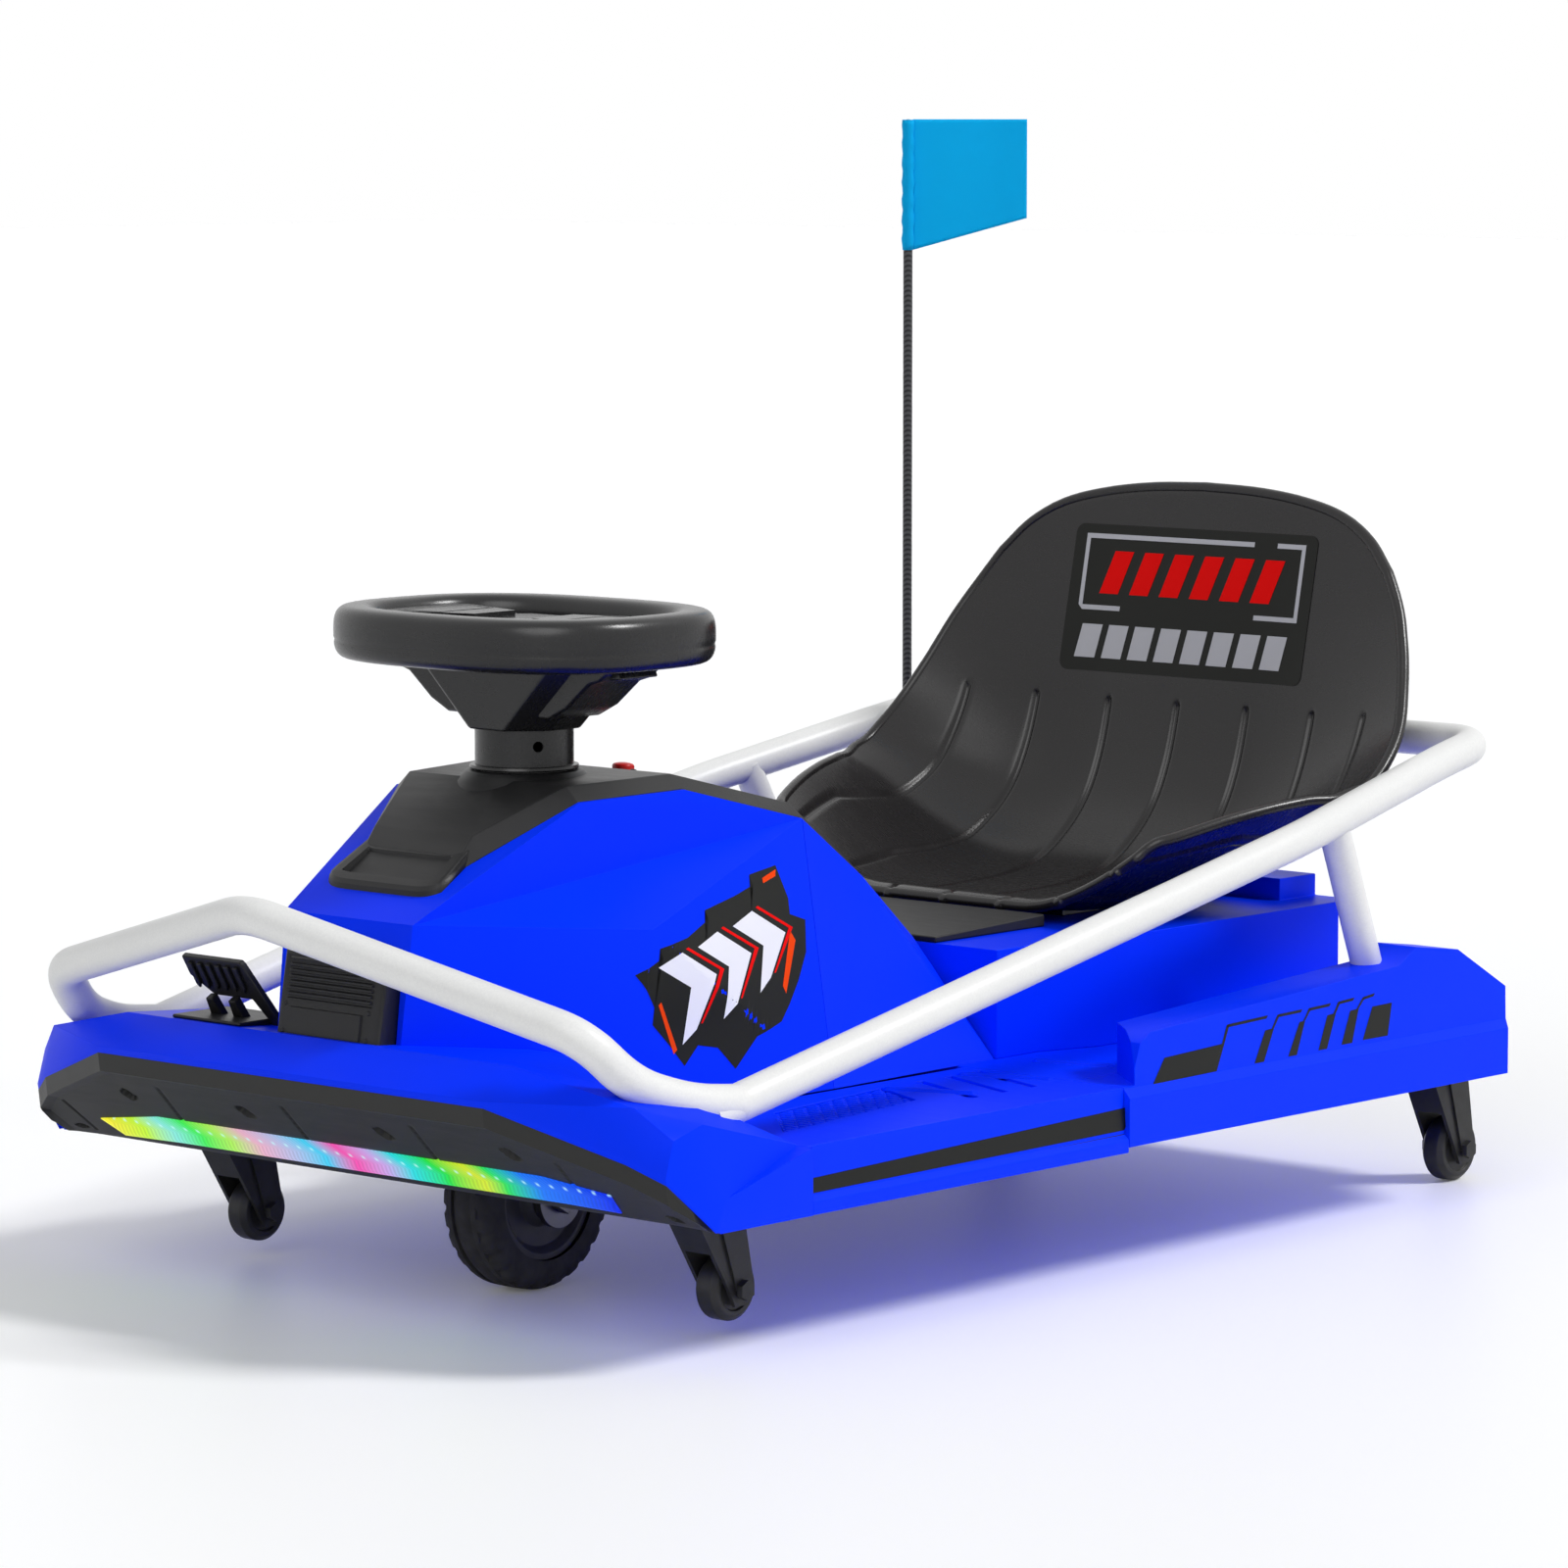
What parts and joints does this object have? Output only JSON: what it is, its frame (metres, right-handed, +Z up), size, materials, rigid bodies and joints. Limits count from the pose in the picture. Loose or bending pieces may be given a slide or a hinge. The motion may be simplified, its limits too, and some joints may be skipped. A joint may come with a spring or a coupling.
{
  "type": "electric drift kart",
  "caption": "Low child's drift kart: one steered drive wheel under the hood, swivel casters at the corners, bent tube guards, a bucket seat and a small flag.",
  "frame": {"origin": "on the floor below the middle of the overall box", "axes": "+Z up, the kart's front is -Y, the driver's left is +X"},
  "size_m": [0.68, 1.185, 0.872],
  "materials": {
    "blue_shell": "glossy royal blue moulding",
    "black_trim": "satin black moulding",
    "white_tube": "pearl white powder coat",
    "seat_plastic": "soft sheen black moulding",
    "steel": "black oxide steel",
    "tyre_rubber": "moulded rubber",
    "hub_grey": "grey moulding",
    "caster_black": "black nylon",
    "light_lens": "lit lens strip",
    "flag_cloth": "light blue woven cloth",
    "pole_fibre": "black wound fibre rod",
    "battery_case": "battery case"
  },
  "bodies": {
    "kart": {"battery": "battery_case", "bumper_fascia": "black_trim", "centre_cover": "black_trim", "flag": "flag_cloth", "flag_pole": "pole_fibre", "floor_tray": "blue_shell", "foot_board_left": "blue_shell", "foot_board_right": "blue_shell", "front_guard": "white_tube", "hood_cover": "black_trim", "hood_front": "blue_shell", "hood_rear": "blue_shell", "light_strip": "light_lens", "nose_deck": "blue_shell", "pedal": "black_trim", "pedal_base": "black_trim", "rail_post_left": "white_tube", "rail_post_right": "white_tube", "rear_deck": "blue_shell", "rear_guard": "white_tube", "rear_pod_left": "blue_shell", "rear_pod_right": "blue_shell", "seat_base": "blue_shell", "seat_bracket": "steel", "seat_shell": "seat_plastic", "side_rail_left": "white_tube", "side_rail_right": "white_tube", "steering_head": "steel", "vent_box": "black_trim"},
    "steering": {"steering_fork": "steel", "drive_axle": "steel", "steering_column": "black_trim", "steering_boss": "black_trim", "steering_rim": "black_trim", "steering_spokes": "black_trim"},
    "drive_wheel": {"drive_tyre": "tyre_rubber", "drive_hub": "hub_grey"},
    "caster_front_left": {"caster_fork_front_left": "caster_black"},
    "caster_wheel_front_left": {"caster_wheel_front_left": "caster_black"},
    "caster_front_right": {"caster_fork_front_right": "caster_black"},
    "caster_wheel_front_right": {"caster_wheel_front_right": "caster_black"},
    "caster_rear_left": {"caster_fork_rear_left": "caster_black"},
    "caster_wheel_rear_left": {"caster_wheel_rear_left": "caster_black"},
    "caster_rear_right": {"caster_fork_rear_right": "caster_black"},
    "caster_wheel_rear_right": {"caster_wheel_rear_right": "caster_black"}
  },
  "joints": [
    {"name": "steering", "type": "hinge", "parent": "kart", "child": "steering", "pos_m": [0, -0.29246, 0.392], "axis": [0, 0, 1], "range_deg": [-180, 180]},
    {"name": "drive_wheel_spin", "type": "hinge", "parent": "steering", "child": "drive_wheel", "pos_m": [0, -0.29246, 0.071], "axis": [1, 0, 0], "continuous": true},
    {"name": "caster_swivel_front_left", "type": "hinge", "parent": "kart", "child": "caster_front_left", "pos_m": [0.244, -0.35946, 0.102], "axis": [0, 0, 1], "continuous": true},
    {"name": "caster_spin_front_left", "type": "hinge", "parent": "caster_front_left", "child": "caster_wheel_front_left", "pos_m": [0.244, -0.33946, 0.037], "axis": [1, 0, 0], "continuous": true},
    {"name": "caster_swivel_front_right", "type": "hinge", "parent": "kart", "child": "caster_front_right", "pos_m": [-0.244, -0.35946, 0.102], "axis": [0, 0, 1], "continuous": true},
    {"name": "caster_spin_front_right", "type": "hinge", "parent": "caster_front_right", "child": "caster_wheel_front_right", "pos_m": [-0.244, -0.33946, 0.037], "axis": [1, 0, 0], "continuous": true},
    {"name": "caster_swivel_rear_left", "type": "hinge", "parent": "kart", "child": "caster_rear_left", "pos_m": [0.239, 0.53954, 0.102], "axis": [0, 0, 1], "continuous": true},
    {"name": "caster_spin_rear_left", "type": "hinge", "parent": "caster_rear_left", "child": "caster_wheel_rear_left", "pos_m": [0.239, 0.55954, 0.027], "axis": [1, 0, 0], "continuous": true},
    {"name": "caster_swivel_rear_right", "type": "hinge", "parent": "kart", "child": "caster_rear_right", "pos_m": [-0.239, 0.53954, 0.102], "axis": [0, 0, 1], "continuous": true},
    {"name": "caster_spin_rear_right", "type": "hinge", "parent": "caster_rear_right", "child": "caster_wheel_rear_right", "pos_m": [-0.239, 0.55954, 0.027], "axis": [1, 0, 0], "continuous": true}
  ]
}
